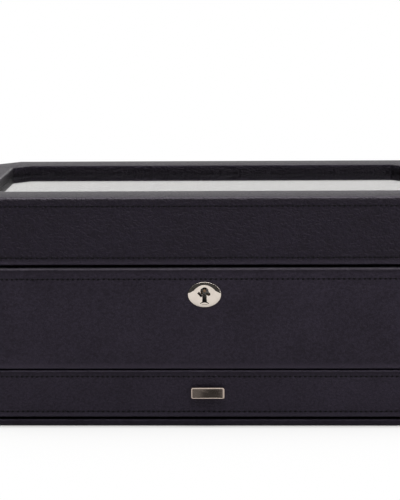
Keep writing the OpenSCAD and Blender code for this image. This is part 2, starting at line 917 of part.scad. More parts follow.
base_pad();
base_board();
base_cover();
case_front();
case_back();
case_left();
case_right();
corner_posts();
case_cover();
deck_board();
tray_wall();
tray_floor();
divider_long();
dividers_cross();
cushions_front();
cushions_back();
escutcheon();
lock_case();
lock_pin();
lock_bolt();
keeper_plate();
keeper_screws();
hinge_leaves_case();
hinge_leaves_lid();
hinge_pins();
hinge_screws_case();
hinge_screws_lid();
lid_front();
lid_back();
lid_left();
lid_right();
lid_corners();
lid_frame();
lid_cover();
lid_lining();
glass();
glass_bead();
drawer_front();
drawer_cover();
drawer_sides();
drawer_back();
drawer_bottom();
drawer_lining();
drawer_pull();
pull_screws();
drawer_guides();
drawer_runners();
drawer_stop();
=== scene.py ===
import math
import random

import bmesh
import bpy
from mathutils import Matrix, Vector, noise


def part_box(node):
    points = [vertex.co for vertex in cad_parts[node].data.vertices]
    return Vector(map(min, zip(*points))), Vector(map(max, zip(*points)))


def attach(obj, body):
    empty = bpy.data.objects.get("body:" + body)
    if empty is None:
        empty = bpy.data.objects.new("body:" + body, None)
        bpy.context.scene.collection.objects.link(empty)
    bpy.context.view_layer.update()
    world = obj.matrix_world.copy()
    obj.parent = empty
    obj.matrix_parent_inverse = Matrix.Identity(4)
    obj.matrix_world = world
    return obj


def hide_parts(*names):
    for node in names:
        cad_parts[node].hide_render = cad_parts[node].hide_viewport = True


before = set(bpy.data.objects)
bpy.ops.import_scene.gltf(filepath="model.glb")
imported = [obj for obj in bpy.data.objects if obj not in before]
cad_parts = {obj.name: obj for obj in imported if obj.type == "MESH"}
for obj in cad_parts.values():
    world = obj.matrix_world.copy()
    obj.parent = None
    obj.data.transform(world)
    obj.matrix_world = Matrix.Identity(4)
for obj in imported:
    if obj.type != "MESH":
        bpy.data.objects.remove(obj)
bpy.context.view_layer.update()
scene = bpy.context.scene
scene.view_settings.view_transform = "Standard"


# ---------------------------------------------------------------- sizes and places, in metres

MM = 0.001

# From the frame
lid_low, lid_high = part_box("lid_cover")
drawer_low, drawer_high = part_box("drawer_cover")
pin_low, pin_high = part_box("lock_pin")
W, D, H = lid_high.x - lid_low.x, lid_high.y - lid_low.y, lid_high.z
LID_Z = lid_low.z
CASE_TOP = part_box("case_cover")[1].z
FRONT = -D / 2

# In plan the cut corners and the rails round the window, then the reach of a rolled edge, the gap over the
# drawer front and the middle of the pull
CUT = 28 * MM
RAIL = 28 * MM
TURN = 1.5 * MM
DRAWER_GAP = 1.1 * MM
PULL_X = 0.9 * MM


# ---------------------------------------------------------------- node helpers

def rgb(r, g, b):
    return (r, g, b, 1.0)


class Nodes:
    """Short calls for the nodes of a material or of the world."""

    def __init__(self, tree):
        self.tree = tree

    def link(self, a, b):
        self.tree.links.new(a, b)

    def put(self, kind, inputs=(), **props):
        """A node with its inputs given as sockets or as values."""
        n = self.tree.nodes.new(kind)
        for k, v in props.items():
            setattr(n, k, v)
        for k, v in dict(inputs).items():
            if isinstance(v, bpy.types.NodeSocket):
                self.link(v, n.inputs[k])
            else:
                n.inputs[k].default_value = v
        return n

    def math(self, op, a, b=0.0):
        return self.put("ShaderNodeMath", {0: a, 1: b}, operation=op).outputs[0]

    def add(self, a, b):
        return self.math("ADD", a, b)

    def sub(self, a, b):
        return self.math("SUBTRACT", a, b)

    def mul(self, a, b):
        return self.math("MULTIPLY", a, b)

    def max(self, a, b):
        return self.math("MAXIMUM", a, b)

    def weigh(self, *pairs):
        """Sum of the sockets, each times its weight."""
        total = 0.0
        for socket, weight in pairs:
            total = self.put("ShaderNodeMath", {0: socket, 1: weight, 2: total},
                             operation="MULTIPLY_ADD").outputs[0]
        return total

    def ramp(self, value, a, b, lo=0.0, hi=1.0, **props):
        """From lo at a to hi at b, level outside."""
        ends = {"Value": value, "From Min": a, "From Max": b, "To Min": lo, "To Max": hi}
        return self.put("ShaderNodeMapRange", ends, clamp=True, **props).outputs["Result"]

    def soft_ramp(self, value, a, b, lo=0.0, hi=1.0):
        return self.ramp(value, a, b, lo, hi, interpolation_type="SMOOTHSTEP")

    def fade(self, value, edge, a, b, lo=0.0, hi=1.0):
        """A ramp from a to b millimetres past an edge."""
        return self.ramp(value, edge + a * MM, edge + b * MM, lo, hi)

    def split(self, vector):
        return self.put("ShaderNodeSeparateXYZ", {0: vector}).outputs


class Mat(Nodes):
    """A material with one principled surface and textures that are fixed to the object."""

    def __init__(self, name):
        self.mat = bpy.data.materials.new(name)
        self.mat.use_nodes = True
        super().__init__(self.mat.node_tree)
        self.bsdf = self.tree.nodes["Principled BSDF"]
        self.out = self.tree.nodes["Material Output"]
        self.coord = self.put("ShaderNodeTexCoord").outputs["Object"]

    def set(self, **values):
        for k, v in values.items():
            self.bsdf.inputs[k.replace("_", " ")].default_value = v

    def vector(self, op, a, b):
        return self.put("ShaderNodeVectorMath", {0: a, 1: b}, operation=op).outputs[0]

    def stretch(self, vector, scale, turn=0.0):
        """The vector turned about y by so many degrees and scaled."""
        inputs = {"Vector": vector, "Rotation": (0.0, math.radians(turn), 0.0), "Scale": scale}
        return self.put("ShaderNodeMapping", inputs).outputs[0]

    def noise(self, scale, detail=3.0, rough=0.55, vector=None, out="Fac"):
        inputs = {"Vector": vector or self.coord, "Scale": scale, "Detail": detail, "Roughness": rough}
        return self.put("ShaderNodeTexNoise", inputs).outputs[out]

    def mix(self, share, a, b, blend="MIX"):
        n = self.put("ShaderNodeMix", {0: share, 6: a, 7: b}, data_type="RGBA", blend_type=blend)
        return n.outputs[2]

    def bump(self, height, distance, strength=1.0, normal=None):
        inputs = {"Height": height, "Distance": distance, "Strength": strength}
        if normal is not None:
            inputs["Normal"] = normal
        return self.put("ShaderNodeBump", inputs).outputs["Normal"]

    def surface(self, color, rough, normal):
        for socket, key in ((color, "Base Color"), (rough, "Roughness"), (normal, "Normal")):
            self.link(socket, self.bsdf.inputs[key])


# ---------------------------------------------------------------- materials

class Leather(Mat):
    """Black leatherette: soft pebbled grain of about 1 mm, low mottling, drier high spots.

    seed moves the grain, so that no two covers show the same piece of it. relief is how far its wrinkles
    stand up.
    """

    # Painted shade at the foot of the window's wall, a painted dark reflection in a band under a rolled top
    # edge, a painted reflection of the floor along a lower edge and a painted highlight on the crest of a
    # roll; then the steepness of a rolled edge
    WALL_FOOT_SHADE = rgb(0.0012, 0.0010, 0.0016)
    UNDER_ROLL_DARK_REFLECTION = rgb(0.0020, 0.0014, 0.0030)
    FLOOR_REFLECTION = rgb(0.025, 0.021, 0.033)
    CREST_HIGHLIGHT = rgb(0.052, 0.048, 0.056)
    ROLL_SLOPE = 0.26

    def __init__(self, name, dark, light, seed=0.0, relief=1.0):
        super().__init__(name)
        shift = self.vector("ADD", self.coord, (seed, seed * 0.7, -seed))
        warp = self.noise(380.0, 2.0, 0.5, shift, "Color")
        bent = self.vector("ADD", shift, self.vector("MULTIPLY", warp, (2.2 * MM,) * 3))
        cells = self.put("ShaderNodeTexVoronoi", {"Vector": bent, "Scale": 820.0},
                         feature="DISTANCE_TO_EDGE").outputs["Distance"]
        pebble = self.ramp(cells, 0.0, 0.34)
        coarse = self.noise(430.0, 3.0, 0.6, bent)
        wrinkle = self.ramp(self.noise(640.0, 2.0, 0.5, self.stretch(bent, (0.8, 1.0, 1.1), 38)), 0.36, 0.64)
        fine = self.noise(3000.0, 2.0, 0.6, bent)
        broad = self.noise(58.0, 4.0, 0.6, shift)
        mottle = self.noise(21.0, 3.0, 0.65, shift)
        tone = self.ramp(self.weigh((mottle, 0.4), (broad, 0.3), (wrinkle, 0.3)), 0.28, 0.72)
        # The creases between the pebbles are painted half as dark: painted shade.
        crease_shade = self.mix(self.ramp(cells, 0.0, 0.16), rgb(0.5, 0.5, 0.5), rgb(1, 1, 1))
        self.color = self.mix(1.0, self.mix(tone, dark, light), crease_shade, "MULTIPLY")
        self.rough = self.ramp(self.weigh((coarse, 0.5), (pebble, 0.35)), 0.15, 0.75, 0.54, 0.36)
        self.height = self.weigh((pebble, 0.55), (wrinkle, relief), (fine, 0.18), (coarse, 0.9))
        self.shape = None
        self.x, self.y, self.z = self.split(self.coord)
        self.inset = self.outline_inset()

    def outline_inset(self):
        """How far inside the eight-sided outline a point lies, in plan."""
        ax, ay = self.math("ABSOLUTE", self.x), self.math("ABSOLUTE", self.y)
        cut = self.mul(self.sub(W / 2 + D / 2 - CUT, self.add(ax, ay)), math.sqrt(0.5))
        side = self.math("MINIMUM", self.sub(W / 2, ax), self.sub(D / 2, ay))
        return self.math("MINIMUM", side, cut)

    def pad_rails(self, crown):
        """The rails round the window swell by crown, wear smooth near their edges and end in a wall whose foot
        is painted dark as painted shade.
        """
        across = self.sub(self.mul(self.inset, 2 / RAIL), 1.0)
        arch = self.sub(1.0, self.mul(across, across))
        self.shape = self.bump(self.mul(arch, crown), 1.0)
        near_edge = self.max(self.fade(self.inset, RAIL, -2.2, -1.0), self.fade(self.inset, 0.0, 2.6, 1.4))
        worn = self.mul(near_edge, self.fade(self.z, H, -2.2, -1.0))
        self.rough = self.sub(self.rough, self.mul(worn, 0.17))
        # Painted shade along the foot of the window's wall
        foot = self.mul(self.fade(self.inset, RAIL, -0.5, -0.2), self.fade(self.z, H, -1.5, -3.5))
        self.color = self.mix(foot, self.color, self.WALL_FOOT_SHADE)
        return self

    def smooth_and_highlight_crest(self, top, share, back=0.0):
        """The crest of the roll at the top edge is rubbed smooth, and painted pale as a painted highlight.

        back is how much further down and out it lies, in millimetres.
        """
        crest = self.mul(self.fade(self.z, top, -1.3 - back, -0.5 - back),
                         self.fade(self.inset, 0.0, 2.2 - back, 1.4 - back))
        self.rough = self.sub(self.rough, self.mul(crest, 0.16))
        # Painted highlight: the crest is painted pale
        self.color = self.mix(self.mul(crest, share), self.color, self.CREST_HIGHLIGHT)
        return self

    def turn_in(self, low, top, front_only=False):
        """An upright face turns in at both edges, with front_only at the lower one in front alone. A band
        under the top roll is painted dark as a painted dark reflection, and a band along the lower edge is
        painted lighter as a painted reflection of the floor.
        """
        # Painted dark reflection in a band under the rolled top edge
        dark_band = self.mul(self.fade(self.z, top, -4.2, -2.0), self.fade(self.z, top, -0.9, -1.4, 0.0, 0.75))
        dark_band = self.mul(dark_band, self.fade(self.inset, 0.0, 3.0, 2.0))
        floor_reflection_share, low_share = 0.8, 2.0
        if front_only:
            face = self.mul(self.fade(self.y, FRONT, 6.0, 0.5), self.fade(self.z, low, -0.1, 0.0))
            floor_reflection_share, low_share = self.mul(face, floor_reflection_share), self.mul(face, low_share)
        # Painted reflection of the floor along the lower edge
        floor_reflection = self.mul(self.fade(self.z, low, 3.6, 0.5), floor_reflection_share)
        self.color = self.mix(floor_reflection, self.mix(dark_band, self.color, self.UNDER_ROLL_DARK_REFLECTION), self.FLOOR_REFLECTION)
        rise = self.max(self.sub(self.z, low), 0.0)
        low_roll = self.math("EXPONENT", self.mul(rise, -1 / TURN))
        top_roll = self.math("EXPONENT", self.mul(self.sub(self.z, top), 1 / TURN))
        drop = self.add(self.mul(low_roll, low_share), top_roll)
        self.shape = self.bump(self.mul(drop, -self.ROLL_SLOPE * TURN), 1.0, normal=self.shape)
        return self

    def finish(self):
        self.surface(self.color, self.rough, self.bump(self.height, 0.17 * MM, 0.9, self.shape))
        self.set(Specular_IOR_Level=0.24, Specular_Tint=rgb(0.92, 0.80, 1.0), IOR=1.5)
        return self.mat


def suede(name, dark, light, sheen=0.25, scale=1.0):
    """Napped suede: fine pile with brushed lighter and darker areas."""
    m = Mat(name)
    nap = m.noise(2600.0 * scale, 3.0, 0.7)
    brushed = m.noise(38.0 * scale, 3.0, 0.6)
    lay = m.noise(420.0 * scale, 3.0, 0.6, m.stretch(m.coord, (1.0, 0.25, 1.0)))
    tone = m.weigh((brushed, 0.55), (nap, 0.25), (lay, 0.2))
    m.surface(m.mix(m.ramp(tone, 0.34, 0.66), dark, light), m.ramp(nap, 0.3, 0.7, 0.86, 0.98),
              m.bump(m.weigh((lay, 0.6), (nap, 1.0)), 0.22 * MM, 0.7))
    m.set(Sheen_Weight=sheen, Sheen_Roughness=0.5, Sheen_Tint=rgb(0.75, 0.72, 0.8), Specular_IOR_Level=0.15)
    return m.mat


def metal(name, color, rough, brushed=0.0, bow_middle=None):
    """Plated metal: faint haze, hairlines along x and a little wear in the finish.

    bow_middle is the middle in x of a face that is faintly bowed from side to side.
    """
    m = Mat(name)
    haze = m.noise(120.0, 4.0, 0.6)
    hair = m.noise(5200.0, 2.0, 0.5, m.stretch(m.coord, (0.06, 1.0, 1.0)))
    wear, worn_tone, bow_curve = 0.05, 0.86, 2.6
    shape = None
    if bow_middle is not None:
        off = m.sub(m.split(m.coord)[0], bow_middle)
        shape = m.bump(m.mul(m.mul(off, off), -bow_curve), 1.0)
    m.surface(m.mix(m.ramp(haze, 0.35, 0.7), rgb(*[c * worn_tone for c in color]), rgb(*color)),
              m.ramp(m.weigh((haze, 0.5), (hair, 0.5)), 0.3, 0.7, rough, rough + wear + brushed),
              m.bump(hair, (0.01 + 0.05 * brushed) * MM, 0.25 + brushed, shape))
    m.set(Metallic=1.0)
    return m.mat


def board(name, dark, light):
    """Fibreboard: fine flecks in a plain brown."""
    m = Mat(name)
    fleck = m.noise(1400.0, 4.0, 0.7)
    area = m.noise(30.0, 2.0, 0.5)
    m.surface(m.mix(m.ramp(m.weigh((fleck, 0.7), (area, 0.3)), 0.35, 0.65), dark, light),
              m.ramp(fleck, 0.3, 0.7, 0.7, 0.9), m.bump(fleck, 0.1 * MM, 0.4))
    return m.mat


def thread(name, color):
    """Twisted sewing thread."""
    m = Mat(name)
    twist = m.put("ShaderNodeTexWave", {"Vector": m.coord, "Scale": 900.0, "Distortion": 1.5},
                  bands_direction="DIAGONAL").outputs["Fac"]
    fuzz = m.noise(5200.0, 2.0)
    tone = m.ramp(m.weigh((twist, 0.6), (fuzz, 0.4)), 0.2, 0.8)
    m.surface(m.mix(tone, rgb(*[c * 0.5 for c in color]), rgb(*color)),
              m.ramp(fuzz, 0.3, 0.7, 0.6, 0.85), m.bump(twist, 0.08 * MM, 0.8))
    m.set(Specular_IOR_Level=0.15)
    return m.mat


def clear_glass(name):
    """Clear glass with faint smudges, which lets lamp light through to what lies below."""
    m = Mat(name)
    smudge = m.noise(24.0, 3.0, 0.5)
    m.link(m.ramp(smudge, 0.5, 0.9, 0.0, 0.02), m.bsdf.inputs["Roughness"])
    m.link(m.mix(m.ramp(smudge, 0.3, 0.8), rgb(0.94, 0.97, 0.96), rgb(0.97, 0.985, 0.98)),
           m.bsdf.inputs["Base Color"])
    m.set(Transmission_Weight=1.0, IOR=1.5)
    see_through = m.put("ShaderNodeBsdfTransparent", {"Color": rgb(0.86, 0.89, 0.88)}).outputs[0]
    shadow_ray = m.put("ShaderNodeLightPath").outputs["Is Shadow Ray"]
    both = m.put("ShaderNodeMixShader", {0: shadow_ray, 1: m.bsdf.outputs[0], 2: see_through})
    m.link(both.outputs[0], m.out.inputs["Surface"])
    return m.mat


# Tones of the leather. The lid and the base have the darker pair; the case and the drawer have the same
# leather painted about three times lighter, as painted light, so that under these lamps they come out about as
# bright as the lid
DARK, LIGHT = rgb(0.0018, 0.0013, 0.0034), rgb(0.0066, 0.0052, 0.0112)
DARK_BRIGHTENED, LIGHT_BRIGHTENED = rgb(0.0052, 0.0042, 0.0080), rgb(0.0176, 0.0146, 0.0244)

LEATHER = Leather("black_leather", DARK, LIGHT).finish()
LEATHER_LID = (Leather("black_leather_lid", DARK, LIGHT, 0.11, relief=2.3)
               .pad_rails(1.8 * MM).smooth_and_highlight_crest(H, 0.9, back=0.8).turn_in(LID_Z, H).finish())
LEATHER_CASE = (Leather("black_leather_case", DARK_BRIGHTENED, LIGHT_BRIGHTENED, 0.23)
                .smooth_and_highlight_crest(CASE_TOP, 0.8)
                .turn_in(drawer_high.z + DRAWER_GAP, CASE_TOP, front_only=True).finish())
LEATHER_DRAWER = (Leather("black_leather_drawer", DARK_BRIGHTENED, LIGHT_BRIGHTENED, 0.37)
                  .turn_in(drawer_low.z, drawer_high.z).finish())
WRAP = Leather("paper_wrap", rgb(0.012, 0.011, 0.013), rgb(0.022, 0.020, 0.024), 0.9).finish()
SUEDE = suede("lining_suede", rgb(0.018, 0.016, 0.020), rgb(0.040, 0.037, 0.044))
CUSHION = suede("cushion_suede", rgb(0.024, 0.022, 0.026), rgb(0.055, 0.051, 0.060), 0.35)
PIPING = suede("cushion_piping", rgb(0.016, 0.015, 0.018), rgb(0.036, 0.033, 0.040), 0.2, 1.6)
FELT = suede("base_felt", rgb(0.010, 0.010, 0.011), rgb(0.024, 0.024, 0.026), 0.1, 0.8)
NICKEL = metal("polished_nickel", (0.65, 0.59, 0.535), 0.05)
PULL = metal("polished_pull", (0.48, 0.40, 0.35), 0.06, bow_middle=PULL_X)
BRASS_DARK = metal("aged_lock_brass", (0.20, 0.135, 0.09), 0.28, 0.1)
STEEL = metal("plated_steel", (0.56, 0.55, 0.53), 0.25, 0.35)
BLACKED = metal("black_plating", (0.035, 0.033, 0.036), 0.35, 0.1)
HINGE = metal("hinge_steel", (0.60, 0.58, 0.54), 0.2, 0.25)
BOARD = board("fibreboard", rgb(0.22, 0.15, 0.09), rgb(0.38, 0.27, 0.17))
THREAD = thread("black_thread", (0.003, 0.0025, 0.004))
GLASS = clear_glass("clear_glass")

# Looks of the CAD nodes. The hinges are steel, and the nodes that aren't named here are boards.
LOOK = {
    "base_cover": LEATHER, "case_cover": LEATHER_CASE, "lid_cover": LEATHER_LID,
    "drawer_cover": LEATHER_DRAWER, "base_board": WRAP, "lid_frame": WRAP, "drawer_sides": WRAP,
    "drawer_back": WRAP, "drawer_stop": WRAP, "drawer_guides": WRAP, "tray_wall": SUEDE, "tray_floor": SUEDE,
    "divider_long": SUEDE, "dividers_cross": SUEDE, "glass_bead": SUEDE, "lid_lining": SUEDE,
    "drawer_lining": SUEDE, "base_pad": FELT, "drawer_runners": FELT, "escutcheon": NICKEL,
    "drawer_pull": PULL, "lock_pin": BRASS_DARK, "lock_case": STEEL, "lock_bolt": STEEL,
    "keeper_screws": STEEL, "pull_screws": STEEL, "keeper_plate": BLACKED, "glass": GLASS,
}
for name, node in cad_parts.items():
    node.data.materials.clear()
    node.data.materials.append(LOOK.get(name) or (HINGE if name.startswith("hinge") else BOARD))


# ---------------------------------------------------------------- mesh helpers

def add_object(name, verts, faces, mat, smooth=True):
    mesh = bpy.data.meshes.new(name)
    mesh.from_pydata([tuple(v) for v in verts], [], faces)
    mesh.update()
    if smooth:
        mesh.polygons.foreach_set("use_smooth", [True] * len(mesh.polygons))
    o = bpy.data.objects.new(name, mesh)
    scene.collection.objects.link(o)
    mesh.materials.append(mat)
    return o


def add_solid(name, verts, faces, mat, smooth=True):
    """An object with a closed mesh, its faces turned outward."""
    o = add_object(name, verts, faces, mat, smooth)
    bm = bmesh.new()
    bm.from_mesh(o.data)
    bmesh.ops.recalc_face_normals(bm, faces=bm.faces)
    bm.to_mesh(o.data)
    bm.free()
    return o


def bands(rings, around, start=0, flip=False):
    """Quads between rings of vertices that follow one another, each ring closed."""
    for i in range(rings - 1):
        for j in range(around):
            a, b = start + i * around + j, start + i * around + (j + 1) % around
            yield (a, a + around, b + around, b) if flip else (a, b, b + around, a + around)


def evaluated_mesh(o):
    return bpy.data.meshes.new_from_object(o.evaluated_get(bpy.context.evaluated_depsgraph_get()))


# ---------------------------------------------------------------- stitching

# Length and width of a stitch, and how far its middle stands out and its ends dive in
STITCH_L, STITCH_W = 1.9 * MM, 1.4 * MM
STITCH_LIFT, STITCH_DIVE = 0.2 * MM, 0.12 * MM

# Slant in degrees, and how much the slant and, in mm, the places along the row and up it vary
STITCH_SLANT, SLANT_SPREAD = 12, 6
ALONG_SPREAD, UP_SPREAD = 0.12, 0.08

# Rows: their pitch, how deep they are drawn in, the room left at their ends, their heights
STITCH_PITCH = 3.25 * MM
STITCH_SUNK = 0.2 * MM
CORNER_MARGIN, DRAWER_MARGIN = 1.2 * MM, 4.2 * MM
LID_ROWS = H - 5.9 * MM, LID_Z + 4.7 * MM
CASE_ROW = CASE_TOP - 7.2 * MM
DRAWER_ROWS = drawer_low.z + 3.9 * MM, drawer_high.z - 4.2 * MM


def side_lines(inset):
    """Both ends and the outward normal of each side of the eight-sided outline, in plan."""
    x, y = W / 2 - inset, D / 2 - inset
    c = CUT - inset * (2 - math.sqrt(2))
    pts = [(x - c, -y), (x, c - y), (x, y - c), (x - c, y), (c - x, y), (-x, y - c), (-x, c - y), (c - x, -y)]
    for i in range(len(pts)):
        a, b = Vector(pts[i - 1]), Vector(pts[i])
        d = b - a
        yield a, b, Vector((d.y, -d.x)).normalized()


def stitch(verts, faces, centre, along, out, up, slant):
    """One stitch: a short thread loop that dives into the leather at both ends."""
    t = (along * math.cos(slant) + up * math.sin(slant)).normalized()
    s = out.cross(t).normalized()
    start = len(verts)
    rings, around = 7, 8
    thin_end, blunt, flat = 0.18, 3.2, 0.34
    for i in range(rings):
        u = i / (rings - 1) * 2 - 1
        fat = STITCH_W * max(thin_end, math.sqrt(max(0.0, 1 - abs(u) ** blunt)))
        lift = STITCH_LIFT * (1 - u * u) - STITCH_DIVE
        for j in range(around):
            a = 2 * math.pi * j / around
            verts.append(centre + t * (u * STITCH_L / 2) + s * (math.cos(a) * fat / 2)
                         + out * (lift + math.sin(a) * fat * flat))
    faces.extend(bands(rings, around, start))
    faces.append(tuple(start + j for j in reversed(range(around))))
    faces.append(tuple(start + (rings - 1) * around + j for j in range(around)))


def stitch_row(verts, faces, a, b, out, rng, margin):
    """Stitches from a to b on an upright face whose outward normal is out, sewn a little unevenly."""
    up = Vector((0, 0, 1))
    run = (b - a).length - 2 * margin
    count = int(run / STITCH_PITCH)
    t = (b - a).normalized()
    for i in range(count):
        p = a + t * (margin + (i + 0.5) * run / count + rng.uniform(-ALONG_SPREAD, ALONG_SPREAD) * MM)
        p += up * rng.uniform(-UP_SPREAD, UP_SPREAD) * MM
        slant = STITCH_SLANT + rng.uniform(-SLANT_SPREAD, SLANT_SPREAD)
        stitch(verts, faces, p, t, out, up, math.radians(slant))


def add_stitches(name, body, rows, seed, margin):
    """Rows of stitches as one piece. Each row is its height, its two ends in plan and its outward normal."""
    rng = random.Random(seed)
    verts, faces = [], []
    for z, a, b, n in rows:
        stitch_row(verts, faces, Vector((*a, z)), Vector((*b, z)), Vector((*n, 0)), rng, margin)
    o = add_solid(name, verts, faces, THREAD)
    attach(o, body)


def all_round(*heights):
    return [(z, *side) for z in heights for side in side_lines(STITCH_SUNK)]


def drawer_rows(*heights):
    y = FRONT + STITCH_SUNK
    return [(z, (drawer_low.x, y), (drawer_high.x, y), (0, -1)) for z in heights]


add_stitches("lid_stitches", "lid", all_round(*LID_ROWS), 3, CORNER_MARGIN)
add_stitches("case_stitches", "case", all_round(CASE_ROW), 5, CORNER_MARGIN)
add_stitches("drawer_stitches", "drawer", drawer_rows(*DRAWER_ROWS), 11, DRAWER_MARGIN)


# ---------------------------------------------------------------- escutcheon with its rolled rim

# The keyhole lies round the lock pin, in the upper half of the plate
LOCK_X, KEY_Z = (pin_low.x + pin_high.x) / 2, (pin_low.z + pin_high.z) / 2
PLATE_Z = KEY_Z - 2 * MM

# Half width, half height, thickness in the middle and depth of the lower bend
PLATE_A, PLATE_B, PLATE_T, PLATE_EDGE = 10.6 * MM, 8.2 * MM, 1.3 * MM, 0.56 * MM

# Share of the radius that the round outer edge takes
RIM = 0.018


def prism(name, outline, y0, y1):
    """A closed prism along y through an outline given in x and z, for cutting."""
    n = len(outline)
    verts = [(x, y, z) for y in (y0, y1) for x, z in outline]
    faces = [tuple(range(n)), tuple(reversed(range(n, 2 * n)))]
    return add_solid(name, verts, faces + list(bands(2, n)), NICKEL, False)


def arc(u, v, a, b, start=0, end=360, steps=48):
    """Points on an oval round (u, v) with the half axes a and b, from start to end in degrees."""
    turns = [math.radians(start + (end - start) * i / steps) for i in range(steps + 1)]
    return [(u + a * math.cos(t), v + b * math.sin(t)) for t in turns]


def keyhole_outlines():
    """Openings that overlap to make the keyhole, in millimetres from the key's axis."""
    # Round head and the bump at its right
    yield arc(0, 0.25, 2.65, 2.65)[:-1]
    yield arc(2.6, -1.5, 1.2, 1.2)[:-1]
    # Slanting ward cut at the left
    u0, v0, slant = -2.95, -1.9, math.radians(-48)
    yield [(u0 + u * math.cos(slant) - v * math.sin(slant), v0 + u * math.sin(slant) + v * math.cos(slant))
           for u, v in ((-1.8, -0.7), (1.8, -0.7), (1.8, 0.95), (-1.8, 0.95))]
    # Stem, wider below
    yield (-1.25, 0), (1.25, 0), (1.5, -6.7), (-1.5, -6.7)
    # Arched foot and the slot under it
    yield arc(0, -8.2, 2.9, 1.85, 12, 168, 14) + arc(0, -8.2, 2.4, 1.2, 168, 12, 14)
    yield (-1.8, -8.15), (-1.8, -8.4), (1.8, -8.4), (1.8, -8.15)


def smooth(v, a, b):
    """From 0 at a to 1 at b, level at both."""
    t = min(max((v - a) / (b - a), 0), 1)
    return t * t * (3 - 2 * t)


def plate_slope(rho, a):
    """Slope of the plate at the share rho of its radius, in the direction a.

    Above its middle it has a shoulder, steepest 14 degrees above the level. Below it bends evenly to its edge.
    """
    up = math.degrees(math.asin(math.sin(a)))
    start = 0.685 + 0.07 * smooth(up, 40, 90) + 0.25 * smooth(up, 32, 0)
    steep = 0.3 + 0.16 * math.exp(-((up - 14) / 12) ** 2)
    shoulder = steep * smooth(rho, start, start + 0.07) + 0.12 * smooth(rho, 0.8, 1.0)
    bend = 9 * PLATE_EDGE / PLATE_B * rho ** 8
    w = smooth(up, 0, 14)
    return w * shoulder + (1 - w) * bend


def plate_section(a):
    """Share of the radius and height of the plate from its middle out, in the direction a."""
    steps, flat, bends = 8, 0.64, 20
    out, t, last = [], PLATE_T, 0.0
    for rho in [0.3, 0.5, 0.6] + [flat + (1 - flat - RIM) * i / bends for i in range(bends + 1)]:
        for i in range(steps):
            t -= plate_slope(last + (rho - last) * (i + 0.5) / steps, a) * PLATE_B * (rho - last) / steps
        out.append((rho, t))
        last = rho
    tilt = math.atan(plate_slope(last, a))
    radius = RIM * PLATE_B / (1 - math.sin(tilt))
    for i in range(1, steps + 1):
        b = tilt + (math.pi / 2 - tilt) * i / steps
        out.append((1 - radius * (1 - math.sin(b)) / PLATE_B, t - radius * (math.cos(tilt) - math.cos(b))))
    return out + [(1.0, 0.0)]


def cut_keyhole(plate):
    cutters = []
    for outline in keyhole_outlines():
        points = [(LOCK_X + u * MM, KEY_Z + v * MM) for u, v in outline]
        cutters.append(prism("keyhole_cut", points, FRONT - 3 * MM, FRONT + 1 * MM))
        mod = plate.modifiers.new("keyhole", "BOOLEAN")
        mod.object, mod.operation, mod.solver = cutters[-1], "DIFFERENCE", "EXACT"
    bpy.context.view_layer.update()
    mesh = evaluated_mesh(plate)
    plate.modifiers.clear()
    plate.data = mesh
    for c in cutters:
        bpy.data.objects.remove(c, do_unlink=True)


def make_escutcheon():
    """The oval plate: flat middle, rim rolled back to the leather, keyhole cut through."""
    around = 144
    turns = [2 * math.pi * j / around for j in range(around)]
    sections = [plate_section(a) for a in turns]
    rings = len(sections[0])
    verts = [(LOCK_X, FRONT - PLATE_T, PLATE_Z)]
    for i in range(rings):
        for a, section in zip(turns, sections):
            r, t = section[i]
            verts.append((LOCK_X + PLATE_A * r * math.cos(a), FRONT - t, PLATE_Z + PLATE_B * r * math.sin(a)))
    faces = [(0, 1 + j, 1 + (j + 1) % around) for j in range(around)]
    faces += bands(rings, around, 1, flip=True)
    faces.append(tuple(1 + (rings - 1) * around + j for j in range(around)))
    plate = add_solid("escutcheon_plate", verts, faces, NICKEL)
    cut_keyhole(plate)
    plate.data.polygons.foreach_set("use_smooth", [True] * len(plate.data.polygons))
    plate.data.set_sharp_from_angle(angle=math.radians(35))
    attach(plate, "case")
    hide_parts("escutcheon")


make_escutcheon()


# ---------------------------------------------------------------- pull with its framed face

PULL_Z = (drawer_low.z + drawer_high.z) / 2 + 1.48 * MM

# In millimetres: half width and half height of the bar, how far its foot is set in and stands out, how far
# the frame stands out, its width at the left and the top, what it has more at the right and less below, and
# the radii of its outer edge and corners. FACE_LEAN is a slope.
PULL_A, PULL_B = 10.7, 3.58
FOOT_IN, FOOT_OUT = 1.5, 1.6
FRAME_OUT, FRAME_W = 4.6, 0.65
FRAME_RIGHT, FRAME_BELOW = 0.45, 0.14
EDGE_R, CORNER_R = 0.12, 0.9
FACE_LEAN = 0.17


def bar_outline(left, right, low, high, r, n=7):
    """Rounded rectangle in x and z, the same number of points for every size."""
    pts = []
    for x, z, start in ((right - r, high - r, 0), (left + r, high - r, 90), (left + r, low + r, 180),
                        (right - r, low + r, 270)):
        for i in range(n):
            a = math.radians(start + 90 * i / (n - 1))
            pts.append((x + r * math.cos(a), z + r * math.sin(a)))
    return pts


def pull_loop(inset, out, r, inner=False, lean=0.0):
    """A rounded outline set in from the bar's own, at a distance out from the drawer front.

    An inner one leaves the frame wider at the right and thinner below. lean tips it back towards its top.
    """
    right, low = (FRAME_RIGHT, FRAME_BELOW) if inner else (0.0, 0.0)
    pts = bar_outline(inset - PULL_A, PULL_A - inset - right, inset - PULL_B - low, PULL_B - inset, r)
    return [(PULL_X + x * MM, FRONT - (out - lean * (z + PULL_B - inset)) * MM, PULL_Z + z * MM)
            for x, z in pts]


